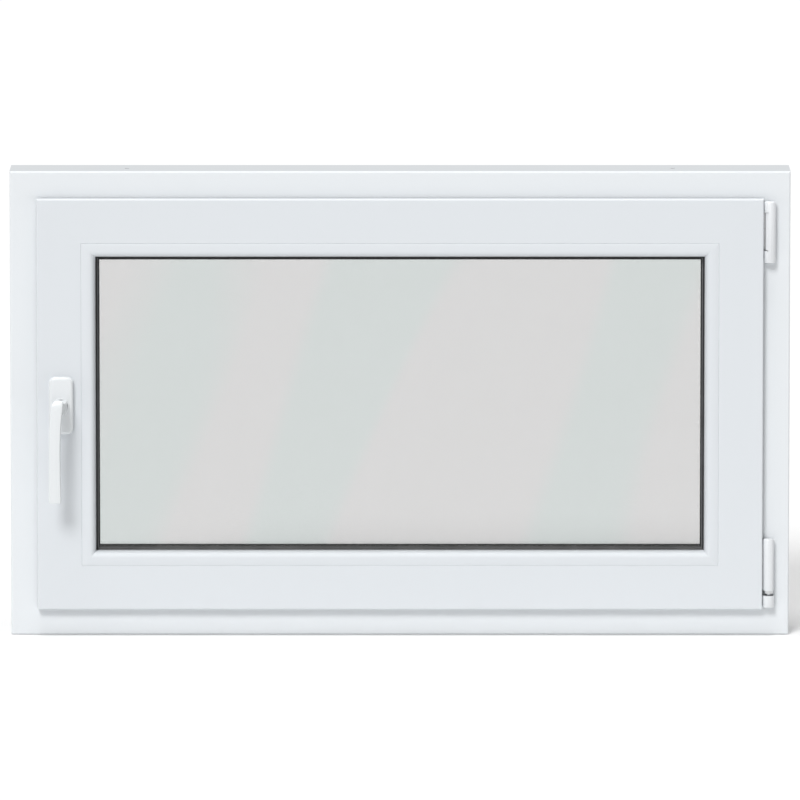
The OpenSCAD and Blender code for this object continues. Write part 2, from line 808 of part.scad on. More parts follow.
module glazing_block_pair(l) {
    for (s = [block_in, l - block_in - block_l])
        span([s, glass_y0, rebate_u], [s + block_l, glass_y1, glass_u]);
}
module glazing_blocks() {
    color("steelblue") {
        at_sill() glazing_block_pair(win_w);
        at_head() glazing_block_pair(win_w);
        at_left() glazing_block_pair(win_h);
        at_right() glazing_block_pair(win_h);
    }
}
module outer_glass_gasket() { color(black) ring(lip_u - 8, lip_u + 2) outer_seal_profile(); }
module inner_glass_gasket() {
    color(black) ring(bead_u - 6.5, bead_u + seal_show) inner_seal_profile();
}
module bead(l) { mitred(l, rebate_u - clip_d, bead_u) bead_profile(); }
module bead_top() { color(white) at_head() bead(win_w); }
module bead_bottom() { color(white) at_sill() bead(win_w); }
module bead_left() { color(white) at_left() bead(win_h); }
module bead_right() { color(white) at_right() bead(win_h); }

// ---------- locking drive ----------

module face_strip(s0, s1) {
    span([s0, groove_y - groove_half + 0.1, body_u],
         [s1, groove_y + groove_half - 0.1, body_u + plate_t]);
}
// A cam slot that lets the post travel from s by the stroke, towards dir
module cam_slot(s, dir) {
    slot(min(s, s + dir * stroke) - 1, max(s, s + dir * stroke) + 1, groove_y,
         body_u - 1, body_u + plate_t + 1, slot_half);
}
strip_top_s1 = stay_x + win_w / 2 - 54;
module faceplate_left() {
    color(steel) at_left() difference() {
        face_strip(corner_s + 0.5, win_h - corner_s - 0.5);
        for (s = [corner_s + 20, win_h - corner_s - 20])
            post(s, groove_y, body_u - 1, body_u + plate_t + 1, 2.1);
    }
}
module faceplate_top() {
    color(steel) at_head() difference() {
        face_strip(corner_s + 0.5, strip_top_s1);
        cam_slot(cam_top_s, -1);
    }
}
module faceplate_bottom() {
    color(steel) at_sill() difference() {
        face_strip(corner_s + 0.5, win_w - corner_s - 180);
        cam_slot(cam_bottom_s, 1);
    }
}
// Corner drives: an angled plate over each handle-side corner
module corner_drive_leg(l, cam_s, dir) {
    difference() {
        union() {
            face_strip(body_u, corner_s);
            span([body_u, groove_y - 4, body_u + plate_t - tiny],
                 [body_u + 6, groove_y + 4, channel_u - 0.2]);
        }
        if (cam_s > 0) cam_slot(cam_s, dir);
    }
}
module corner_drives() {
    color(steel) {
        at_sill() corner_drive_leg(win_w, 0, 0);
        at_left() corner_drive_leg(win_h, 0, 0);
        at_head() corner_drive_leg(win_w, 0, 0);
        translate([-win_w / 2, 0, win_h]) mirror([0, 0, 1]) mirror([1, 0, -1])
            corner_drive_leg(win_h, win_h - cam_left_s, 1);
    }
}
// Guide plate for the stay's pin
module stay_guide() {
    color(steel) at_head() difference() {
        face_strip(strip_top_s1 + 0.5, stay_x + win_w / 2 + 66);
        slot(stay_x + win_w / 2 - 1, stay_x + win_w / 2 + stay_slide + 1, groove_y,
             body_u - 1, body_u + plate_t + 1, guide_slot_half);
    }
}

// Drive rods under the faceplates
module rod_strip(s0, s1) {
    span([s0, groove_y - rod_half, rod_u], [s1, groove_y + rod_half, rod_u + rod_t]);
}
rack_pitch = PI * gear_m;
// One rack tooth, pointing into the window
module rack_tooth(s) {
    root = 1.1 * gear_m;
    tip = 0.8 * gear_m;
    half = rack_pitch / 4 - 0.08;
    translate([s, groove_y + gear_half, 0]) rotate([90, 0, 0]) linear_extrude(height = 2 * gear_half)
        polygon([[-half - root * tan(20), rack_u - root - tiny],
                 [half + root * tan(20), rack_u - root - tiny],
                 [half - tip * tan(20), rack_u + tip], [-half + tip * tan(20), rack_u + tip]]);
}
module drive_rod_left() {
    color("darkgray") at_left() union() {
        rod_strip(body_u + 41, win_h - 73);
        for (i = [-2:10]) rack_tooth(handle_z + i * rack_pitch);
    }
}
module drive_rod_top() { color("darkgray") at_head() rod_strip(body_u + 36, 330); }
module drive_rod_bottom() { color("darkgray") at_sill() rod_strip(body_u + 10, 420); }
module cam(s) {
    post(s, groove_y, cam_u0, cam_u1, cam_r);
    post(s, groove_y, cam_u1 - tiny, rod_u, post_r);
}
module cam_left() { color("gainsboro") at_left() cam(cam_left_s); }
module cam_top() { color("gainsboro") at_head() cam(cam_top_s); }
module cam_bottom() { color("gainsboro") at_sill() cam(cam_bottom_s); }

// ---------- gear case ----------

hub_r = 5.8;
hub_half = 5.6;
case_cav_r = pitch_r + gear_m + 0.3;
module gear_case() {
    u0 = rack_u + 0.8 * gear_m + 0.5;
    color("darkgray") difference() {
        at_left() span([handle_z - case_half + 0.2, case_y0 + 0.2, u0],
                       [handle_z + case_half - 0.2, case_y1 - 0.2, case_u1 - 0.2]);
        depth_rod(spindle_x, handle_z, groove_y - gear_half - 0.2, groove_y + gear_half + 0.2,
                  case_cav_r);
        depth_rod(spindle_x, handle_z, case_y0 - 1, case_y1 + 1, hub_r + run_gap);
    }
}
// Involute flank point of a gear with base radius rb, at radius r
function inv_angle(rb, r) = let (c = rb / r) tan(acos(c)) * 180 / PI - acos(c);
function flank(rb, r, half, side) =
    let (a = half - inv_angle(rb, max(r, rb))) [r * cos(side * a), r * sin(side * a)];
module gear_outline() {
    rb = pitch_r * cos(20);
    ro = pitch_r + 0.85 * gear_m;
    rr = pitch_r - 1.15 * gear_m;
    pitch = 360 / pinion_n;
    half = pitch / 4 - 0.08 / pitch_r * 180 / PI + inv_angle(rb, pitch_r);
    radii = [rr, rb, for (i = [1:4]) rb + (ro - rb) * i / 4];
    polygon([for (k = [0:pinion_n - 1]) each [
        for (r = radii) rotate_point(flank(rb, r, half, -1), k * pitch),
        for (i = [len(radii) - 1:-1:0]) rotate_point(flank(rb, radii[i], half, 1), k * pitch)]]);
}
function rotate_point(p, a) = [p[0] * cos(a) - p[1] * sin(a), p[0] * sin(a) + p[1] * cos(a)];
// A gap faces the rack: with an odd tooth count the rack side has one when a tooth points away
module gear_pinion() {
    turn = pinion_n % 2 == 1 ? 0 : 180 / pinion_n;
    color("goldenrod") translate([spindle_x, groove_y, handle_z]) rotate([90, 0, 0]) difference() {
        union() {
            translate([0, 0, -gear_half]) linear_extrude(height = 2 * gear_half)
                rotate(turn) gear_outline();
            translate([0, 0, -hub_half]) cylinder(h = 2 * hub_half, r = hub_r);
        }
        cube([spindle_w + 0.1, spindle_w + 0.1, 40], center = true);
    }
}

// ---------- handle ----------

module handle_screw_rods(extra = 0) {
    for (side = [-1, 1])
        depth_rod(spindle_x, handle_z + side * screw_pitch, base_y0, case_y0 + 0.1, 2.4 + extra);
}
base_h = 3.5;
base_y0 = sash_y0 - base_h;
rosette_y0 = sash_y0 - rosette_d;
neck_r = 8;

// Upright plate with round ends, between two depths
module round_plate(w, h, y0, y1) {
    r = w / 2;
    translate([spindle_x, y1, handle_z]) rotate([90, 0, 0]) linear_extrude(height = y1 - y0) union() {
        square([w, h - w], center = true);
        for (side = [-1, 1]) translate([0, side * (h / 2 - r)]) circle(r);
    }
}
module soft_plate(w, h, r, y0, y1) {
    translate([spindle_x, y1, handle_z]) rotate([90, 0, 0]) linear_extrude(height = y1 - y0) union() {
        square([w - 2 * r, h], center = true);
        square([w, h - 2 * r], center = true);
        for (x = [-1, 1], z = [-1, 1]) translate([x * (w / 2 - r), z * (h / 2 - r)]) circle(r);
    }
}
module handle_base() {
    color("darkgray") difference() {
        round_plate(rosette_w - 6, rosette_h - 6, base_y0, sash_y0);
        depth_rod(spindle_x, handle_z, base_y0 - 1, sash_y0 + 1, 6);
        for (side = [-1, 1])
            depth_rod(spindle_x, handle_z + side * screw_pitch, base_y0 - 1, sash_y0 + 1,
                      2.4 + screw_gap);
    }
}
module handle_rosette() {
    color(white) difference() {
        union() {
            soft_plate(rosette_w, rosette_h, 6, rosette_y0 + 1.5, sash_y0);
            soft_plate(rosette_w - 3, rosette_h - 3, 5, rosette_y0, rosette_y0 + 1.5 + tiny);
        }
        soft_plate(rosette_w - 4, rosette_h - 4, 4, rosette_y0 + 2, sash_y0 + 1);
        depth_rod(spindle_x, handle_z, rosette_y0 - 1, sash_y0 + 1, neck_r + 0.4);
    }
}
module handle_screws() {
    color("darkgray") for (side = [-1, 1]) difference() {
        union() {
            depth_rod(spindle_x, handle_z + side * screw_pitch, base_y0 - 2.6, base_y0, 4.2);
            depth_rod(spindle_x, handle_z + side * screw_pitch, base_y0 - 1, case_y0 + 0.1, 2.4);
        }
        for (a = [0, 90]) translate([spindle_x, base_y0 - 2.6, handle_z + side * screw_pitch])
            rotate([0, a, 0]) cube([4.6, 2.4, 1], center = true);
    }
}
module handle_spindle() {
    y0 = rosette_y0 - 14;
    color("gainsboro") translate([spindle_x - spindle_w / 2, y0, handle_z - spindle_w / 2])
        cube([spindle_w, groove_y + hub_half - y0, spindle_w]);
}
// Neck on the spindle, then a gently arched grip that hangs down a little to one side
grip_out = 55;
grip_side = 8;
grip_t = 12;
module handle_lever() {
    top_z = 12;
    n = 12;
    mid_y = sash_y0 - grip_out + grip_t / 2 + 4;
    bore_half = spindle_w / 2 + 0.05;
    color(white) difference() {
        union() {
            depth_rod(spindle_x, handle_z, mid_y, base_y0 - 0.5, neck_r);
            translate([spindle_x - grip_side - lever_w / 2, 0, handle_z]) rotate([90, 0, 90])
                linear_extrude(height = lever_w)
                polygon(concat(
                    [for (i = [0:n]) let (t = i / n)
                        [mid_y - grip_t / 2 * (1 - 0.2 * t) - 4 * sin(180 * t),
                         top_z - 2 * (1 - min(1, 4 * t)) - (top_z + lever_l) * t]],
                    [for (i = [n:-1:0]) let (t = i / n)
                        [mid_y + grip_t / 2 * (1 - 0.2 * t) - 4 * sin(180 * t),
                         top_z - (top_z + lever_l) * t]]));
        }
        span([spindle_x - bore_half, rosette_y0 - 14.1, handle_z - bore_half],
             [spindle_x + bore_half, base_y0, handle_z + bore_half]);
    }
}

frame_head();
frame_sill();
frame_jamb_left();
frame_jamb_right();
frame_steel_bars();
frame_gasket();
strikers();
tilt_striker();
striker_screws();
top_hinge_bearing();
top_hinge_pin();
top_hinge_cover();
bottom_bearing_base();
bottom_bearing_cover();
hinge_screws();
drain_caps();
corner_bearing_pin();
sash_top_rail();
sash_bottom_rail();
sash_stile_left();
sash_stile_right();
sash_steel_bars();
sash_gasket();
glass_inner_pane();
glass_outer_pane();
glass_spacer();
edge_seal();
glazing_blocks();
outer_glass_gasket();
inner_glass_gasket();
bead_top();
bead_bottom();
bead_left();
bead_right();
bottom_hinge_band();
bottom_hinge_cover();
band_screws();
gear_case();
faceplate_left();
faceplate_top();
faceplate_bottom();
corner_drives();
stay_guide();
handle_base();
handle_rosette();
handle_screws();
handle_lever();
handle_spindle();
gear_pinion();
drive_rod_left();
cam_left();
drive_rod_top();
cam_top();
drive_rod_bottom();
cam_bottom();
top_hinge_bush();
stay_band();
stay_band_cover();
stay_arm();
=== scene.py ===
# %% [markdown]
# # A white tilt-and-turn window
# This window has a fixed frame and one sash, which turns on the hinges at its right or tilts in at
# the top, as the handle at its left is set. The CAD part gives every size and every moving body.
# Most CAD parts already have their true shape, so they only get materials. The pieces that a person
# sees up close and touches are modelled again here with soft edges: the beads round the glass, the
# seal, the handle, and the covers of the hinges. All lengths are in metres.

# %% Load the CAD frame
import math

import bpy
import bmesh
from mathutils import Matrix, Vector


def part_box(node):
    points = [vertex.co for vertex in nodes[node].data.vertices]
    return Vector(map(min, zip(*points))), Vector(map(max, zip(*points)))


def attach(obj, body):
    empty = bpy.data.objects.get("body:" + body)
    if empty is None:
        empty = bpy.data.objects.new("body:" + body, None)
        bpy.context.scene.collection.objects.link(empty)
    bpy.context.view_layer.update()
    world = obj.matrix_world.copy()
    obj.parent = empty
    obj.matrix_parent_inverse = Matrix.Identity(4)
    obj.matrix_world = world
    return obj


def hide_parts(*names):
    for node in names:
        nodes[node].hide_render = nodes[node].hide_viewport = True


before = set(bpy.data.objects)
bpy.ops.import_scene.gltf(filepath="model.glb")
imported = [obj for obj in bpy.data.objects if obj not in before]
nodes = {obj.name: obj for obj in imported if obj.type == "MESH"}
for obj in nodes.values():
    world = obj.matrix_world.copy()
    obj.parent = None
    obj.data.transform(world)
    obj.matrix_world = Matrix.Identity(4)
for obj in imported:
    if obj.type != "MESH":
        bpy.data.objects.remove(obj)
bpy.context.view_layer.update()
MM = 0.001

# %% [markdown]
# ## Small tools
# Modelling tools work on whatever is selected, and loading the frame leaves all its parts selected.
# So each helper first selects one object only. Selecting by hand is easy in a window, but a script
# has no mouse, and a small helper for it saves a mistake in every later step.

# %% Select and edit
def only(obj):
    """Selects one object and nothing else."""
    if bpy.context.object and bpy.context.object.mode != "OBJECT":
        bpy.ops.object.mode_set(mode="OBJECT")
    bpy.ops.object.select_all(action="DESELECT")
    obj.select_set(True)
    bpy.context.view_layer.objects.active = obj


def edit(obj):
    """Opens an object for editing with nothing selected."""
    only(obj)
    bpy.ops.object.mode_set(mode="EDIT")
    bpy.ops.mesh.select_mode(type="VERT")
    bpy.ops.mesh.select_all(action="DESELECT")


def close_edit():
    """Goes back to working on whole objects."""
    bpy.ops.object.mode_set(mode="OBJECT")


print("select and edit: ready")

# %% [markdown]
# A person clicks on the edge to be bevelled. A script could name it by its number, but numbers
# change with every cut. Here corners, edges and faces are picked by a test on where they are or
# where they look, so each later step says which part of the mesh it works on.

# %% Pick corners, edges and faces
def pick(obj, test):
    """Selects the vertices that pass a test, with the edges and faces between them."""
    mesh = bmesh.from_edit_mesh(obj.data)
    for v in mesh.verts:
        v.select = bool(test(v.co))
    mesh.select_flush_mode()
    bmesh.update_edit_mesh(obj.data)
    return sum(v.select for v in mesh.verts)


def pick_edges(obj, test):
    """Selects the edges whose two ends pass a test."""
    bpy.ops.mesh.select_mode(type="EDGE")
    mesh = bmesh.from_edit_mesh(obj.data)
    for e in mesh.edges:
        e.select = bool(test(e.verts[0].co, e.verts[1].co))
    mesh.select_flush_mode()
    bmesh.update_edit_mesh(obj.data)
    return sum(e.select for e in mesh.edges)


def pick_faces(obj, test):
    """Selects the faces whose middle and normal pass a test."""
    bpy.ops.mesh.select_mode(type="FACE")
    mesh = bmesh.from_edit_mesh(obj.data)
    mesh.normal_update()
    for f in mesh.faces:
        f.select = bool(test(f.calc_center_median(), f.normal))
    mesh.select_flush_mode()
    bmesh.update_edit_mesh(obj.data)
    return sum(f.select for f in mesh.faces)


print("picking: ready")

# %% [markdown]
# Most pieces start as a box and are cut across with planes. The box is sized and moved while its
# mesh is being edited, so that the object itself stays at the origin, where a material's pattern
# needs it. When a piece is done, it rides on a CAD body, takes the place of the CAD part that it
# stands for, and gets its material.

# %% Shape and finish pieces
def block(name, lo, hi):
    """A box from one corner to the other, placed in its mesh."""
    bpy.ops.object.select_all(action="DESELECT")
    bpy.ops.mesh.primitive_cube_add(size=1)
    obj = bpy.context.object
    obj.name = name
    size = [b - a for a, b in zip(lo, hi)]
    middle = [(a + b) / 2 for a, b in zip(lo, hi)]
    edit(obj)
    bpy.ops.mesh.select_all(action="SELECT")
    bpy.ops.transform.resize(value=size, center_override=(0, 0, 0))
    bpy.ops.transform.translate(value=middle)
    close_edit()
    return obj


def cut(obj, point, normal, keep_below=False):
    """Cuts right across a mesh with a plane; keep_below removes what is past the plane."""
    edit(obj)
    bpy.ops.mesh.select_all(action="SELECT")
    bpy.ops.mesh.bisect(plane_co=point, plane_no=normal, use_fill=keep_below,
                        clear_outer=keep_below)
    close_edit()


def smooth(obj, degrees):
    """Shades smooth, but leaves every edge sharp that bends more than the given angle."""
    only(obj)
    bpy.ops.object.shade_smooth_by_angle(angle=math.radians(degrees))


def apply_modifier(obj, kind, **values):
    """Adds one modifier with its values and applies it at once."""
    only(obj)
    made = obj.modifiers.new(kind.title(), kind)
    for key, value in values.items():
        setattr(made, key, value)
    bpy.ops.object.modifier_apply(modifier=made.name)


def finish_piece(obj, body, replaced, material):
    """Gives a finished piece its body and its material, and hides the CAD parts it stands for."""
    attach(obj, body)
    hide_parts(*replaced)
    obj.data.materials.clear()
    obj.data.materials.append(material)
    print(f"{obj.name}: {len(obj.data.polygons)} faces, stands for {', '.join(replaced)}")


print("shaping and finishing: ready")

# %% [markdown]
# ## Shared surface effects
# White plastic is never one flat white: the die leaves fine lines along an extruded profile, the
# shine is uneven, and dust lies on upward faces. Rubber and metal have the same kinds of detail at
# other scales. Each material could hold its own copy of these nodes. A node group is built once
# instead, and each material places it with its own values. First come four small tools for nodes.

# %% Tools for node groups
def new_group(name, inputs, outputs):
    """An empty node group with named sockets, and its input and output nodes."""
    group = bpy.data.node_groups.new(name, "ShaderNodeTree")
    for socket, kind, value in inputs:
        made = group.interface.new_socket(socket, in_out="INPUT", socket_type=kind)
        made.default_value = value
    for socket, kind in outputs:
        group.interface.new_socket(socket, in_out="OUTPUT", socket_type=kind)
    return group, group.nodes.new("NodeGroupInput"), group.nodes.new("NodeGroupOutput")


def add(tree, kind, **values):
    """Adds a node; a value that is no socket's name is set on the node itself."""
    made = tree.nodes.new(kind)
    for key, value in values.items():
        if key in made.inputs:
            made.inputs[key].default_value = value
        else:
            setattr(made, key, value)
    return made


def mapped_noise(group, given, scale, detail, rough=0.5):
    """A noise in object space, stretched by the group's Stretch input."""
    place = add(group, "ShaderNodeTexCoord")
    stretch = add(group, "ShaderNodeVectorMath", operation="MULTIPLY")
    noise = add(group, "ShaderNodeTexNoise", Scale=scale, Detail=detail, Roughness=rough)
    group.links.new(place.outputs["Object"], stretch.inputs[0])
    group.links.new(given.outputs["Stretch"], stretch.inputs[1])
    group.links.new(stretch.outputs[0], noise.inputs["Vector"])
    return noise


def spread(group, source, low, high):
    """Turns a noise value into a number between low and high."""
    made = add(group, "ShaderNodeMapRange")
    made.inputs["From Min"].default_value = 0.3
    made.inputs["From Max"].default_value = 0.7
    made.inputs["To Min"].default_value = low
    made.inputs["To Max"].default_value = high
    group.links.new(source, made.inputs["Value"])
    return made.outputs["Result"]


print("node tools: ready")

# %% [markdown]
# A skin takes a colour and gives back a slightly uneven colour, shine and height. The wide noise
# shifts the colour in patches. Dust is mixed in by how far a face looks up, so a sill gathers it
# and a ceiling side stays clean. Painting dust by hand would be lost if a size changed.

# %% Patches and dust
def patchy_colour(group, colour, patches, tint):
    """Makes a colour slightly lighter and darker in patches."""
    shade = spread(group, patches.outputs["Fac"], 1 - tint, 1 + tint)
    toned = add(group, "ShaderNodeVectorMath", operation="SCALE")
    group.links.new(colour, toned.inputs[0])
    group.links.new(shade, toned.inputs["Scale"])
    return toned.outputs[0]


def dusty_colour(group, colour, patches, dust_amount):
    """Mixes dust into a colour where a face looks up."""
    facing = add(group, "ShaderNodeNewGeometry")
    parts = add(group, "ShaderNodeSeparateXYZ")
    group.links.new(facing.outputs["Normal"], parts.inputs[0])
    lying = add(group, "ShaderNodeMath", operation="MULTIPLY", use_clamp=True)
    group.links.new(parts.outputs["Z"], lying.inputs[0])
    group.links.new(spread(group, patches.outputs["Fac"], 0, dust_amount), lying.inputs[1])
    dusty = add(group, "ShaderNodeMix", data_type="RGBA")
    clean, dust = [s for s in dusty.inputs if s.type == "RGBA"]
    dust.default_value = DUST
    group.links.new(colour, clean)
    group.links.new(lying.outputs[0], dusty.inputs["Factor"])
    return [s for s in dusty.outputs if s.type == "RGBA"][0]


DUST = (0.62, 0.60, 0.57, 1)
print("dust colour:", DUST[:3])

# %% [markdown]
# The long noise makes the lines. It moves the roughness up and down and is also given out as a
# height, so that the same lines that shine differently are very slightly raised. Plastic, metal and
# rubber are three calls of one function.

# %% Skins
def skin_group(name, line_scale, patch_scale, tint, dust_amount, shine):
    """A surface effect: colour, roughness and height, all slightly uneven."""
    group, given, result = new_group(
        name,
        [("Color", "NodeSocketColor", (0.8, 0.8, 0.8, 1)),
         ("Stretch", "NodeSocketVector", (1, 1, 1)),
         ("Roughness", "NodeSocketFloat", 0.4)],
        [("Color", "NodeSocketColor"), ("Roughness", "NodeSocketFloat"),
         ("Height", "NodeSocketFloat")])
    lines = mapped_noise(group, given, line_scale, 4)
    patches = mapped_noise(group, given, patch_scale, 3, 0.6)
    toned = patchy_colour(group, given.outputs["Color"], patches, tint)
    dusty = dusty_colour(group, toned, patches, dust_amount)
    group.links.new(dusty, result.inputs["Color"])
    rough = add(group, "ShaderNodeMath", operation="ADD", use_clamp=True)
    group.links.new(given.outputs["Roughness"], rough.inputs[0])
    group.links.new(spread(group, lines.outputs["Fac"], -shine, shine), rough.inputs[1])
    group.links.new(rough.outputs[0], result.inputs["Roughness"])
    group.links.new(lines.outputs["Fac"], result.inputs["Height"])
    return group


plastic_skin = skin_group("plastic_skin", 420, 9, 0.006, 0.05, 0.03)
metal_skin = skin_group("metal_skin", 900, 40, 0.05, 0.04, 0.07)
rubber_skin = skin_group("rubber_skin", 1500, 30, 0.15, 0.10, 0.06)
print("groups:", [g.name for g in bpy.data.node_groups])

# %% [markdown]
# ## Materials
# One function builds each solid material: a skin group feeds the colour, the roughness and the bump
# of one shader. Values that are the same all over, such as the metal or the clear coat, are set on
# the shader itself. So all finishes share one structure and differ only in their numbers.

# %% Material builder
# height of the finest lines, in metres
RELIEF = 0.0001


def skinned(name, skin, colour, rough, stretch=(1, 1, 1), metal=0.0, coat=0.0, gloss=0.5,
            bump=0.05):
    """A material whose colour, roughness and bump come through a skin group."""
    material = bpy.data.materials.new(name)
    material.use_nodes = True
    tree = material.node_tree
    shader = tree.nodes["Principled BSDF"]
    group = add(tree, "ShaderNodeGroup")
    group.node_tree = skin
    group.inputs["Color"].default_value = (*colour, 1)
    group.inputs["Stretch"].default_value = stretch
    group.inputs["Roughness"].default_value = rough
    relief = add(tree, "ShaderNodeBump", Strength=bump, Distance=RELIEF)
    tree.links.new(group.outputs["Color"], shader.inputs["Base Color"])
    tree.links.new(group.outputs["Roughness"], shader.inputs["Roughness"])
    tree.links.new(group.outputs["Height"], relief.inputs["Height"])
    tree.links.new(relief.outputs["Normal"], shader.inputs["Normal"])
    shader.inputs["Metallic"].default_value = metal
    shader.inputs["Coat Weight"].default_value = coat
    shader.inputs["Coat Roughness"].default_value = 0.12
    shader.inputs["Specular IOR Level"].default_value = gloss
    return material


print("material builder: ready")

# %% [markdown]
# Rails lie and stiles stand, and both are cut from the same extruded plastic. Each gets the lines
# along its own length by a stretch of the noise. The sash's plastic is set slightly darker than the
# frame's.

# %% White plastic profiles
FRAME_WHITE, SASH_WHITE = (0.748, 0.775, 0.797), (0.685, 0.714, 0.742)
ALONG_X, ALONG_Z = (0.04, 1, 1), (1, 1, 0.04)


def pvc(name, colour, stretch):
    """Extruded white plastic with a low, even gloss."""
    return skinned(name, plastic_skin, colour, 0.38, stretch, coat=0.04, gloss=0.25)


frame_rail = pvc("white_pvc_frame_rail", FRAME_WHITE, ALONG_X)
frame_stile = pvc("white_pvc_frame_stile", FRAME_WHITE, ALONG_Z)
sash_rail = pvc("white_pvc_sash_rail", SASH_WHITE, ALONG_X)
sash_stile = pvc("white_pvc_sash_stile", SASH_WHITE, ALONG_Z)
print("profile whites:", FRAME_WHITE, SASH_WHITE)

# %% [markdown]
# Covers are moulded and a little glossier than the profiles. The handle is cast metal with a powder
# coat, which has a fine ripple and a clear shine. Rubber is dull and nearly black, and the fittings
# are zinc-plated.

# %% Covers, handle, rubber and metal
moulded_white = skinned("white_moulded_plastic", plastic_skin, (0.74, 0.76, 0.78), 0.3, coat=0.1,
                        gloss=0.4)
handle_white = skinned("white_powder_coat", plastic_skin, (0.74, 0.765, 0.78), 0.30,
                       (1.5, 1.5, 1.5), coat=0.25, bump=0.1)
seal_black = skinned("black_seal_rubber", rubber_skin, (0.020, 0.021, 0.022), 0.55, bump=0.1)
# a paler grey, painted on the seal's ridge as a highlight
seal_painted_highlight = skinned("seal_ridge_painted_highlight", rubber_skin, (0.105, 0.107, 0.110), 0.5, bump=0.1)
zinc = skinned("silver_zinc", metal_skin, (0.66, 0.67, 0.68), 0.34, (0.2, 1, 1), metal=1.0)
screw_steel = skinned("plated_screw_steel", metal_skin, (0.60, 0.60, 0.59), 0.30, metal=1.0)
spacer_metal = skinned("matt_spacer_metal", metal_skin, (0.60, 0.61, 0.62), 0.5, metal=0.9)
block_plastic = skinned("blue_block_plastic", plastic_skin, (0.10, 0.20, 0.36), 0.5)
bush_plastic = skinned("dark_bush_plastic", plastic_skin, (0.05, 0.05, 0.055), 0.4)
print("materials:", len(bpy.data.materials))

# %% [markdown]
# The bars inside the profiles are galvanised steel. Zinc cools on it in flat crystals, each of its
# own brightness. A noise would look like clouds, so the cells of a Voronoi texture are used, and
# a ramp holds their tones close together.

# %% Galvanised steel
CRYSTALS_PER_METRE = 160
galvanised = skinned("galvanised_steel", metal_skin, (0.66, 0.67, 0.69), 0.38, metal=1.0)
tree = galvanised.node_tree
place = add(tree, "ShaderNodeTexCoord")
cells = add(tree, "ShaderNodeTexVoronoi", Scale=CRYSTALS_PER_METRE)
tone = add(tree, "ShaderNodeValToRGB")
tone.color_ramp.elements[0].color = (0.50, 0.51, 0.53, 1)
tone.color_ramp.elements[1].color = (0.78, 0.79, 0.80, 1)
tree.links.new(place.outputs["Object"], cells.inputs["Vector"])
tree.links.new(cells.outputs["Color"], tone.inputs["Fac"])
tree.links.new(tone.outputs["Color"], tree.nodes["Group"].inputs["Color"])
print("zinc crystals per metre:", CRYSTALS_PER_METRE)

# %% [markdown]
# Both panes are float glass: clear, with a faint grey tint. Wide slanting zones of green in the
# tint are painted reflections, since one flat tint would look like plastic film. A single noise is
# leaned over, stretched upwards and passed through a narrow ramp, and the last numbers choose which
# slice of it shows.

# %% Glass
GLASS_GREY = (0.806, 0.804, 0.804, 1)
# the green of the painted reflections in the slanting zones
GLASS_REFLECTION_GREEN = (0.782, 0.806, 0.801, 1)
LEAN, REFLECTION_STRETCH, REFLECTION_SLICE = math.radians(-20), (5, 1, 0.7), (0, 1.7, 0)
glass = bpy.data.materials.new("float_glass")
glass.use_nodes = True
tree = glass.node_tree
shader = tree.nodes["Principled BSDF"]
shader.inputs["Transmission Weight"].default_value = 1.0
shader.inputs["Roughness"].default_value = 0.0
shader.inputs["IOR"].default_value = 1.5
place = add(tree, "ShaderNodeTexCoord")
lean = add(tree, "ShaderNodeVectorRotate", rotation_type="Y_AXIS", Angle=LEAN)
stretch = add(tree, "ShaderNodeVectorMath", operation="MULTIPLY_ADD")
stretch.inputs[1].default_value = REFLECTION_STRETCH
stretch.inputs[2].default_value = REFLECTION_SLICE
reflection_zones = add(tree, "ShaderNodeTexNoise", Scale=1.3, Detail=1.0)
tone = add(tree, "ShaderNodeValToRGB")
tone.color_ramp.interpolation = "EASE"
tone.color_ramp.elements[0].position = 0.46
tone.color_ramp.elements[1].position = 0.56
tone.color_ramp.elements[0].color = GLASS_GREY
tone.color_ramp.elements[1].color = GLASS_REFLECTION_GREEN
tree.links.new(place.outputs["Object"], lean.inputs["Vector"])
tree.links.new(lean.outputs["Vector"], stretch.inputs[0])
tree.links.new(stretch.outputs[0], reflection_zones.inputs["Vector"])
tree.links.new(reflection_zones.outputs["Fac"], tone.inputs["Fac"])
tree.links.new(tone.outputs["Color"], shader.inputs["Base Color"])
print("glass from", GLASS_GREY[:3], "to", GLASS_REFLECTION_GREEN[:3])

# %% [markdown]
# ## Finishes of the carried-over CAD parts
# Profiles, steel bars, long seals and metal fittings keep their CAD shape, because it is exact and
# the moving parts depend on it. Only their materials change. A table of finish and parts is easier
# to read and to extend than one line for each part.

# %% Materials on the CAD parts
finishes = {
    frame_rail: ["frame_head", "frame_sill"],
    frame_stile: ["frame_jamb_left", "frame_jamb_right"],
    sash_rail: ["sash_top_rail", "sash_bottom_rail"],
    sash_stile: ["sash_stile_left", "sash_stile_right"],
    galvanised: ["frame_steel_bars", "sash_steel_bars"],
    seal_black: ["frame_gasket", "sash_gasket", "outer_glass_gasket", "edge_seal"],
    zinc: ["strikers", "tilt_striker", "top_hinge_bearing", "top_hinge_pin",
           "bottom_bearing_base", "corner_bearing_pin", "bottom_hinge_band", "gear_case",
           "faceplate_left", "faceplate_top", "faceplate_bottom", "corner_drives", "stay_guide",
           "handle_base", "handle_spindle", "gear_pinion", "drive_rod_left", "cam_left",
           "drive_rod_top", "cam_top", "drive_rod_bottom", "cam_bottom", "stay_band", "stay_arm"],
    screw_steel: ["striker_screws", "hinge_screws", "band_screws", "handle_screws"],
    glass: ["glass_inner_pane", "glass_outer_pane"],
    spacer_metal: ["glass_spacer"],
    block_plastic: ["glazing_blocks"],
    bush_plastic: ["top_hinge_bush"],
}
for material, names in finishes.items():
    for name in names:
        part = nodes[name]
        part.data.materials.clear()
        part.data.materials.append(material)
        smooth(part, 25)
print("CAD parts finished:", sum(len(v) for v in finishes.values()))

# %% [markdown]
# ## Mitred bars
# Beads and seals run round the glass as bars that meet at 45 degrees, as a joiner saws them. The
# four could be modelled one by one. Here one bar is modelled along the bottom, its ends are cut,
# and copies of its mesh are turned to the other sides, so all the corners fit.

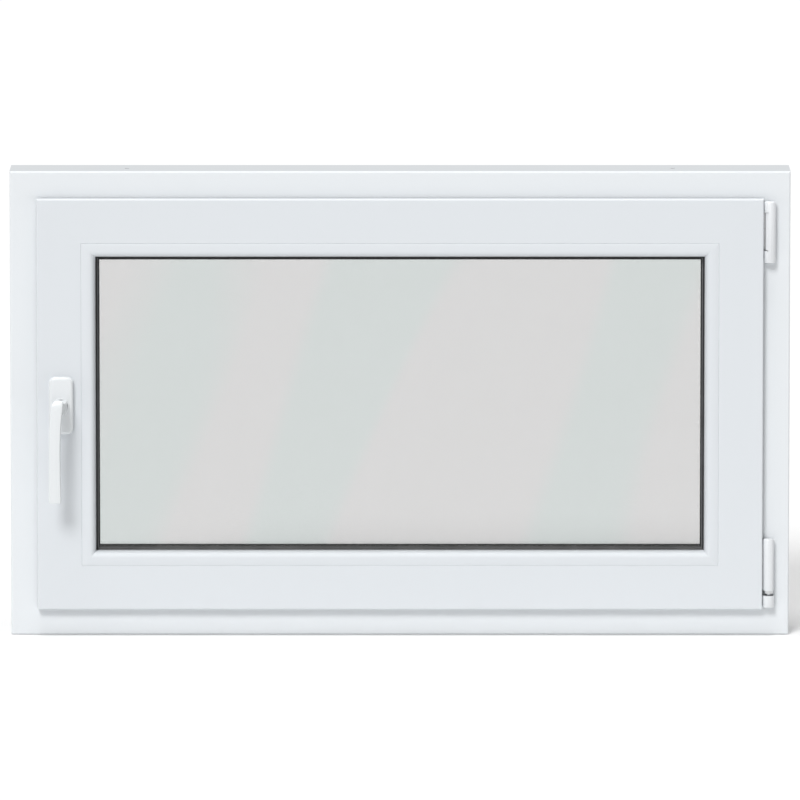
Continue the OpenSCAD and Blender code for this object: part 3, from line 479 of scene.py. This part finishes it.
# %% Mitre and turn a bar
HALF_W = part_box("frame_sill")[1].x
TOP_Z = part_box("frame_head")[1].z
MID_Z = TOP_Z / 2
# two places are the same if they are nearer than this, and an edge runs along a bar if it is longer
NEAR, LONG = 1e-5, 0.1


def mitre_ends(bar, half_length):
    """Cuts both ends at 45 degrees, so that four bars close into a frame."""
    cut(bar, (half_length, 0, 0), (1, 0, 1), keep_below=True)
    cut(bar, (-half_length, 0, 0), (-1, 0, 1), keep_below=True)


def copy_to_side(bar, side, name):
    """A copy of a sill bar for another side of the window, with its own mesh."""
    turn = {"bottom": 0, "left": 1, "top": 2, "right": 3}[side]
    obj = bpy.data.objects.new(name, bar.data.copy())
    bpy.context.collection.objects.link(obj)
    edit(obj)
    bpy.ops.mesh.select_all(action="SELECT")
    reach = HALF_W if turn % 2 else MID_Z
    # the sill line goes through the origin, the turned bar's line is `reach` from the middle
    bpy.ops.transform.translate(value=(0, 0, -reach))
    mesh = bmesh.from_edit_mesh(obj.data)
    for v in mesh.verts:
        x, z = v.co.x, v.co.z
        for _ in range(turn):
            x, z = z, -x
        v.co.x, v.co.z = x, z + MID_Z
    bmesh.update_edit_mesh(obj.data)
    bpy.ops.mesh.normals_make_consistent(inside=False)
    close_edit()
    return obj


print("window half width", HALF_W, "middle height", MID_Z)

# %% [markdown]
# ### Glazing beads
# The bead is the snap-in strip that holds the glass from the room side. Its front slopes steeply to
# the glass, and a clip along its hidden edge holds it in the sash. A plain bevel gives only a round
# edge. So the bar is squeezed in depth, bevelled and stretched back, which turns the round into the
# steep curve of the real bead.

# %% Bead bar
bead_lo, bead_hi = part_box("bead_bottom")
front_y, back_y = bead_lo.y, bead_hi.y
CLIP, CLIP_NEAR, CLIP_FAR = 3.4 * MM, 11 * MM, 14 * MM
bead_z0, bead_z1 = bead_lo.z + CLIP, bead_hi.z
SLOPE_IN, SLOPE_DEEP, SOFT = 8 * MM, 14.2 * MM, 0.5 * MM


def bead_bar(name, half_length):
    """A bead along the bottom, with its clip, its slope and mitred ends."""
    bar = block(name, (-HALF_W, front_y, bead_z0), (HALF_W, back_y, bead_z1))
    # a clip runs along the hidden edge
    near, far = front_y + CLIP_NEAR, front_y + CLIP_FAR
    for y in (near, far):
        cut(bar, (0, y, 0), (0, 1, 0))
    edit(bar)
    pick_faces(bar, lambda c, n: n.z < -0.9 and near < c.y < far)
    bpy.ops.mesh.extrude_region_move(TRANSFORM_OT_translate={"value": (0, 0, -CLIP)})
    # the steep inner slope
    squeeze = SLOPE_IN / SLOPE_DEEP
    bpy.ops.mesh.select_all(action="SELECT")
    bpy.ops.transform.resize(value=(1, squeeze, 1), center_override=(0, front_y, 0))
    pick_edges(bar, lambda a, b: min(a.z, b.z) > bead_z1 - NEAR and max(a.y, b.y) < front_y + NEAR
               and abs(a.x - b.x) > LONG)
    bpy.ops.mesh.bevel(offset=SLOPE_IN, segments=10, profile=0.5, clamp_overlap=False)
    bpy.ops.mesh.select_all(action="SELECT")
    bpy.ops.transform.resize(value=(1, 1 / squeeze, 1), center_override=(0, front_y, 0))
    # the edge on the sash side
    pick_edges(bar, lambda a, b: max(a.y, b.y) < front_y + NEAR and max(a.z, b.z) < bead_z0 + NEAR
               and abs(a.x - b.x) > LONG)
    bpy.ops.mesh.bevel(offset=SOFT, segments=3, clamp_overlap=False)
    close_edit()
    mitre_ends(bar, half_length)
    return bar


bead_size = [round(v / MM, 1) for v in (bead_z1 - bead_z0, back_y - front_y)]
print("bead section, mm:", bead_size)

# %% [markdown]
# The long bar serves the bottom and the top, the short one the two sides. Each copy gets the
# plastic whose fine lines run along its own length.

# %% Four beads
long_bead = bead_bar("bead_bar_long", HALF_W)
short_bead = bead_bar("bead_bar_short", MID_Z)
for side, source, skin in (("bottom", long_bead, sash_rail), ("top", long_bead, sash_rail),
                           ("left", short_bead, sash_stile), ("right", short_bead, sash_stile)):
    bead = copy_to_side(source, side, f"glazing_bead_{side}")
    smooth(bead, 40)
    finish_piece(bead, "sash", [f"bead_{side}"], skin)
for bar in (long_bead, short_bead):
    bpy.data.objects.remove(bar)

# %% [markdown]
# ### Seal between bead and glass
# A strip of black rubber closes the gap between bead and glass. It shows a ridge and a thin lip
# that leans on the pane. Its outline could be drawn and swept round. Cuts along a bar do the same
# with less: they give rows of corners, and each row drops towards the glass by its own amount.

# %% Seal bar
seal_lo, seal_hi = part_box("inner_glass_gasket")
SEAL_SHOWS, LIP_DROP = 5 * MM, 2.2 * MM
RIDGE_FROM, RIDGE_TO = 2.2 * MM, 3.4 * MM
seal_z0, seal_z1 = seal_lo.z, bead_z1 + SEAL_SHOWS


def seal_bar(name, half_length):
    """A seal along the bottom, with its ridge, its lip and mitred ends."""
    y0, y1 = seal_lo.y, seal_hi.y
    bar = block(name, (-HALF_W, y0, seal_z0), (HALF_W, y1, seal_z1))
    places = [0.4 * MM, 1.7 * MM, RIDGE_FROM, RIDGE_TO, 3.9 * MM]
    drops = [0.3 * MM, 1.5 * MM, 1.9 * MM, 1.9 * MM, 1.3 * MM]
    rows = [(bead_z1 + place, drop) for place, drop in zip(places, drops)]
    for z, drop in rows:
        cut(bar, (0, 0, z), (0, 0, 1))
    edit(bar)
    for z, drop in rows + [(seal_z1, LIP_DROP)]:
        pick(bar, lambda c, z=z: abs(c.z - z) < NEAR and c.y < y0 + NEAR)
        bpy.ops.transform.translate(value=(0, drop, 0))
    close_edit()
    mitre_ends(bar, half_length)
    return bar


print("seal shows", round(SEAL_SHOWS / MM, 1), "mm past the bead")

# %% [markdown]
# The real seal is one closed ring, so the four bars are joined and the corners that meet are
# merged. The ridge's front faces get a painted highlight: a second, paler material on their own
# faces, which is simpler than a mask in the nodes.

# %% Closed seal
seal_parts = []
for side, half in (("bottom", HALF_W), ("top", HALF_W), ("left", MID_Z), ("right", MID_Z)):
    source = seal_bar("seal_bar", half)
    seal_parts.append(copy_to_side(source, side, f"seal_{side}"))
    bpy.data.objects.remove(source)
only(seal_parts[0])
for piece in seal_parts[1:]:
    piece.select_set(True)
bpy.ops.object.join()
inner_seal = seal_parts[0]
inner_seal.name = "inner_glass_seal"
edit(inner_seal)
bpy.ops.mesh.select_all(action="SELECT")
bpy.ops.mesh.remove_doubles(threshold=1e-6)
close_edit()
smooth(inner_seal, 20)
finish_piece(inner_seal, "sash", ["inner_glass_gasket"], seal_black)
# the ridge's front faces get the painted highlight
inner_seal.data.materials.append(seal_painted_highlight)
for face in inner_seal.data.polygons:
    inside = min(HALF_W - abs(face.center.x), face.center.z, TOP_Z - face.center.z)
    if bead_z1 + RIDGE_FROM < inside < bead_z1 + RIDGE_TO and face.normal.y < -0.9:
        face.material_index = 1
print("seal ridge faces:", sum(f.material_index == 1 for f in inner_seal.data.polygons))

# %% [markdown]
# ## Handle
# The plate covers the two screws and carries the lever. It is a flat moulding with round corners
# and a softer front edge, so a box is bevelled twice: first its four long edges, then the whole
# loop round its front face.

# %% Handle plate
rose_lo, rose_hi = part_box("handle_rosette")
spindle_lo, spindle_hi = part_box("handle_spindle")
axis_x, axis_z = (spindle_lo.x + spindle_hi.x) / 2, (spindle_lo.z + spindle_hi.z) / 2
CORNER_R, FRONT_SOFT, COLLAR_H = 8 * MM, 4 * MM, 0.8 * MM
plate = block("handle_plate", (rose_lo.x, rose_lo.y + COLLAR_H, rose_lo.z), rose_hi)
edit(plate)
pick_edges(plate, lambda a, b: abs(a.y - b.y) > 5 * MM)
bpy.ops.mesh.bevel(offset=CORNER_R, segments=8, clamp_overlap=False)
pick_faces(plate, lambda c, n: n.y < -0.9)
bpy.ops.mesh.select_mode(type="EDGE")
bpy.ops.mesh.region_to_loop()
bpy.ops.mesh.bevel(offset=FRONT_SOFT, segments=5, clamp_overlap=False)
close_edit()
print("plate corners:", round(CORNER_R / MM, 1), "mm, front edge:", round(FRONT_SOFT / MM, 1), "mm")

# %% [markdown]
# A low collar stands round the axis and guides the neck, which turns in a round hole. Round
# details on a square plate are awkward to extrude, so cylinders are added to it and cut from it
# with booleans.

# %% Collar and hole
def rod(name, r, y0, y1):
    """A cylinder along the depth, on the spindle's axis."""
    bpy.ops.object.select_all(action="DESELECT")
    bpy.ops.mesh.primitive_cylinder_add(vertices=64, radius=r, depth=y1 - y0)
    obj = bpy.context.object
    obj.name = name
    edit(obj)
    bpy.ops.mesh.select_all(action="SELECT")
    bpy.ops.transform.rotate(value=math.pi / 2, orient_axis="X", center_override=(0, 0, 0))
    bpy.ops.transform.translate(value=(axis_x, (y0 + y1) / 2, axis_z))
    close_edit()
    return obj


def combine(obj, other, operation):
    """Adds another object to this one or cuts it away, then removes it."""
    apply_modifier(obj, "BOOLEAN", object=other, operation=operation, solver="EXACT")
    bpy.data.objects.remove(other)


COLLAR_R, COLLAR_DEEP, COLLAR_SOFT, HOLE_R, SPARE = 10.4 * MM, 4 * MM, 0.6 * MM, 8.4 * MM, 2 * MM
collar = rod("collar", COLLAR_R, rose_lo.y, rose_lo.y + COLLAR_DEEP)
edit(collar)
pick_faces(collar, lambda c, n: n.y < -0.9)
bpy.ops.mesh.select_mode(type="EDGE")
bpy.ops.mesh.region_to_loop()
bpy.ops.mesh.bevel(offset=COLLAR_SOFT, segments=3)
close_edit()
combine(plate, collar, "UNION")
combine(plate, rod("hole", HOLE_R, rose_lo.y - SPARE, rose_hi.y + SPARE), "DIFFERENCE")
smooth(plate, 40)
finish_piece(plate, "sash", ["handle_rosette"], handle_white)

# %% [markdown]
# The grip is a soft bar that arches away from the sash and leans over to its neck at the top. It
# could be swept along a curve, but its width and thickness change on the way down. So a box is cut
# into rows, and each row is moved and scaled by a rule that depends on how far down it is.

# %% Grip
grip_lo, grip_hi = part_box("handle_lever")
GRIP_W, GRIP_T, ARCH = 16 * MM, 11.5 * MM, 3.2 * MM
grip_y = grip_lo.y + ARCH - 0.8 * MM
grip_x = grip_lo.x + GRIP_W / 2 + 0.3 * MM
lever = block("handle_grip", (grip_x - GRIP_W / 2, grip_y, grip_lo.z),
              (grip_x + GRIP_W / 2, grip_y + GRIP_T, grip_hi.z))
NECK_HALF = 7.9 * MM
rows = [axis_z + NECK_HALF, axis_z - NECK_HALF] + [axis_z - d * MM for d in (20, 40, 60, 80, 100, 113)]
for z in rows:
    cut(lever, (0, 0, z), (0, 0, 1))
edit(lever)
# the top end is smaller and lies nearer the neck
TOP_ASIDE, TOP_BACK = 5 * MM, 2.5 * MM
length = grip_hi.z - grip_lo.z
pick(lever, lambda c: c.z > grip_hi.z - NEAR)
bpy.ops.transform.translate(value=(TOP_ASIDE, TOP_BACK, 0))
bpy.ops.transform.resize(value=(0.7, 0.6, 1),
                         center_override=(grip_x + TOP_ASIDE, grip_y + GRIP_T / 2, 0))
# t goes from 0 at the top to 1 at the lower end
for z in rows + [grip_lo.z]:
    t = (grip_hi.z - z) / length
    pick(lever, lambda c, z=z: abs(c.z - z) < NEAR)
    # half a wave of arch, which ends just above the lower end
    bpy.ops.transform.translate(value=(0, -ARCH * math.sin(math.pi * min(1, t * 1.05)), 0))
    # the upper four tenths lean over to the neck
    sweep = 4 * MM * max(0, 1 - t / 0.4) ** 2
    bpy.ops.transform.translate(value=(sweep, 0, 0))
    # a slight waist in the middle, and thinner towards the lower end
    wide = 0.9 + 0.1 * min(1, abs(t - 0.5) / 0.5)
    thin = 1.0 - 0.28 * max(0, (t - 0.12) / 0.88)
    bpy.ops.transform.resize(value=(wide, thin, 1),
                             center_override=(grip_x + sweep, grip_y + GRIP_T * 0.35, z))
close_edit()
print("grip rows:", len(rows) + 2)

# %% [markdown]
# Grip and neck are one casting, so the neck is pulled out of the grip's back face in three lengths.
# A bevel keeps the corners from melting away, and subdivision then rounds the whole lever into one
# soft shape.

# %% Neck and rounding
edit(lever)
pick_faces(lever, lambda c, n: n.y > 0.9 and abs(c.z - axis_z) < NECK_HALF)
neck_y = grip_hi.y
start_y = grip_y + GRIP_T
for share in (0.12, 0.5, 1.0):
    y = start_y + (neck_y - start_y) * share
    bpy.ops.mesh.extrude_region_move()
    mesh = bmesh.from_edit_mesh(lever.data)
    chosen = [v for v in mesh.verts if v.select]
    middle_x = sum(v.co.x for v in chosen) / len(chosen)
    for v in chosen:
        v.co.y = y
        v.co.x = axis_x + math.copysign(NECK_HALF, v.co.x - middle_x)
    bmesh.update_edit_mesh(lever.data)
close_edit()
apply_modifier(lever, "BEVEL", width=2.6 * MM, segments=2, limit_method="ANGLE",
               angle_limit=math.radians(50))
apply_modifier(lever, "SUBSURF", levels=3)
smooth(lever, 60)
finish_piece(lever, "handle", ["handle_lever"], handle_white)
print("grip box:", [round(v, 4) for v in lever.bound_box[0]], [round(v, 4) for v in lever.bound_box[6]])

# %% [markdown]
# ## Hinge covers and drain caps
# Plastic covers snap over the metal of the hinges, and small hoods sit over the drain slots. Their
# CAD shape has to clear the turning parts, so it is kept and only its edges are softened. A copied
# CAD mesh is merged first, because its triangles don't share corners and a bevel would open it.

# %% Softened covers
def soften(node, name, body, width):
    """A copy of a CAD cover with bevelled edges."""
    obj = bpy.data.objects.new(name, nodes[node].data.copy())
    bpy.context.collection.objects.link(obj)
    edit(obj)
    bpy.ops.mesh.select_all(action="SELECT")
    bpy.ops.mesh.remove_doubles(threshold=2e-6)
    bpy.ops.mesh.dissolve_limited(angle_limit=math.radians(1))
    close_edit()
    apply_modifier(obj, "BEVEL", width=width, segments=3, limit_method="ANGLE",
                   angle_limit=math.radians(30))
    smooth(obj, 40)
    finish_piece(obj, body, [node], moulded_white)


for node, name, body, width in (
        ("top_hinge_cover", "top_hinge_cap", "frame", 0.25 * MM),
        ("bottom_bearing_cover", "bottom_bearing_cap", "frame", 0.25 * MM),
        ("bottom_hinge_cover", "bottom_hinge_cap", "sash", 0.25 * MM),
        ("stay_band_cover", "stay_hinge_cap", "stay", 0.2 * MM),
        ("drain_caps", "drain_hoods", "frame", 0.6 * MM)):
    soften(node, name, body, width)

# %% [markdown]
# ## Floor, light and camera
# The window stands on a pale floor under an even sky. One soft light from the upper left in front
# gives the shadows under the sash and beside the handle, and one from above lights the upper edges.
# Suns are used, not area lamps, because their light is the same at every distance.

# %% Studio
bpy.ops.object.select_all(action="DESELECT")
bpy.ops.mesh.primitive_plane_add(size=240, location=(0, 0, -0.0003))
floor = bpy.context.object
floor.name = "studio_floor"
floor_white = skinned("studio_floor_white", plastic_skin, (0.93, 0.93, 0.93), 0.9, bump=0.0)
floor.data.materials.append(floor_white)

world = bpy.data.worlds.new("studio_sky")
bpy.context.scene.world = world
world.use_nodes = True
world.node_tree.nodes["Background"].inputs["Color"].default_value = (1, 1, 1, 1)
world.node_tree.nodes["Background"].inputs["Strength"].default_value = 0.2


def soft_sun(name, direction, strength, spread_degrees):
    """A sun that shines along a direction; the wider its disc, the softer its shadows."""
    light = bpy.data.lights.new(name, "SUN")
    light.energy = strength
    light.angle = math.radians(spread_degrees)
    obj = bpy.data.objects.new(name, light)
    obj.rotation_mode = "QUATERNION"
    obj.rotation_quaternion = Vector(direction).to_track_quat("-Z", "Y")
    bpy.context.collection.objects.link(obj)


SUN_STRENGTH = 1.85
soft_sun("key_light", (0.25, 0.735, -0.632), SUN_STRENGTH, 20)
soft_sun("top_light", (0.02, 0.05, -1), SUN_STRENGTH, 25)

# %% [markdown]
# The camera looks slightly down on the window. Close up, its tilt would make the sides lean
# together. It stands far back with a long lens instead, so they stay almost parallel.

# %% Camera
DISTANCE, HEIGHT, PITCH = 14.0, 2.245, math.radians(7.475)
lens_data = bpy.data.cameras.new("camera")
lens_data.lens = 495.6
lens_data.shift_y = -0.1
lens_data.clip_end = 300
camera = bpy.data.objects.new("camera", lens_data)
camera.location = (0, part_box("frame_sill")[0].y - DISTANCE, HEIGHT)
camera.rotation_euler = (math.pi / 2 - PITCH, 0, 0)
bpy.context.collection.objects.link(camera)
bpy.context.scene.camera = camera
bpy.context.scene.view_settings.view_transform = "Standard"
print("camera at", [round(v, 3) for v in camera.location])
